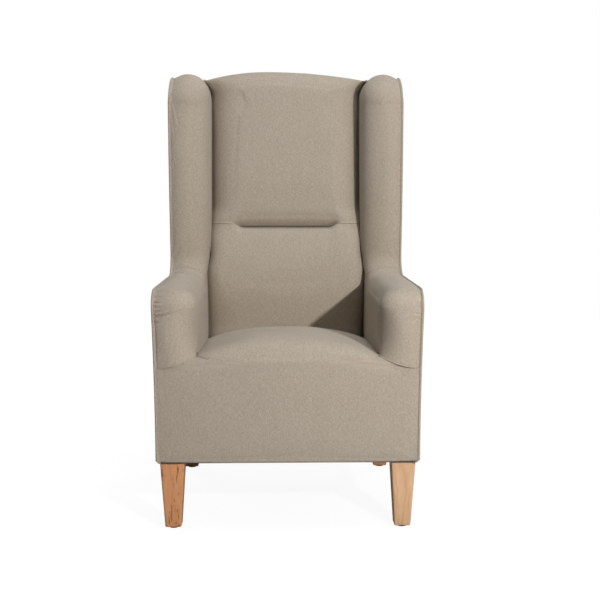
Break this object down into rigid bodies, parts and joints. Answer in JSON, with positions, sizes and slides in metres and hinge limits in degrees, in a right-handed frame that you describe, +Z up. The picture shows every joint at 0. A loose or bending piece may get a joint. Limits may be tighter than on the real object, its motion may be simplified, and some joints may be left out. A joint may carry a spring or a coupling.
{
  "type": "fireside chair",
  "caption": "High-backed upholstered wing armchair with padded arms, a tight domed seat, a back in two pads, piped edges and tapered wooden legs.",
  "frame": {"origin": "on the floor under the middle of the whole chair", "axes": "+Z up, the front faces -Y, +X towards the right arm as seen from the front"},
  "size_m": [0.676, 0.7351, 1.207],
  "materials": {
    "cloth": "matte",
    "piping": "matte",
    "leg_wood": "satin",
    "frame_wood": "matte",
    "board": "matte",
    "foam": "matte",
    "steel": "satin",
    "webbing": "matte",
    "felt": "matte",
    "dust_cloth": "matte",
    "glide": "matte"
  },
  "bodies": {
    "root": {"front_rail": "frame_wood", "rear_rail": "frame_wood", "left_side_rail": "frame_wood", "right_side_rail": "frame_wood", "corner_block_front_left": "frame_wood", "corner_block_front_right": "frame_wood", "corner_block_rear_left": "frame_wood", "corner_block_rear_right": "frame_wood", "left_arm_post": "frame_wood", "right_arm_post": "frame_wood", "left_arm_rail": "frame_wood", "right_arm_rail": "frame_wood", "left_back_upright": "frame_wood", "right_back_upright": "frame_wood", "back_top_rail": "frame_wood", "back_lumbar_rail": "frame_wood", "back_lower_rail": "frame_wood", "left_wing_post": "frame_wood", "right_wing_post": "frame_wood", "left_wing_top_rail": "frame_wood", "right_wing_top_rail": "frame_wood", "left_arm_board": "board", "right_arm_board": "board", "left_wing_board": "board", "right_wing_board": "board", "left_side_board": "board", "right_side_board": "board", "rear_board": "board", "seat_springs": "steel", "spring_clips": "steel", "back_webbing": "webbing", "seat_felt": "felt", "seat_foam": "foam", "front_foam": "foam", "lumbar_foam": "foam", "upper_back_foam": "foam", "left_arm_foam": "foam", "right_arm_foam": "foam", "left_wing_foam": "foam", "right_wing_foam": "foam", "seat_and_front_cover": "cloth", "lumbar_cover": "cloth", "upper_back_cover": "cloth", "left_arm_cover": "cloth", "right_arm_cover": "cloth", "left_wing_cover": "cloth", "right_wing_cover": "cloth", "left_side_cover": "cloth", "right_side_cover": "cloth", "rear_cover": "cloth", "dust_cover": "dust_cloth", "left_piping": "piping", "right_piping": "piping", "front_left_leg": "leg_wood", "front_right_leg": "leg_wood", "rear_left_leg": "leg_wood", "rear_right_leg": "leg_wood", "leg_bolts": "steel", "leg_tee_nuts": "steel", "floor_glides": "glide"}
  },
  "joints": []
}
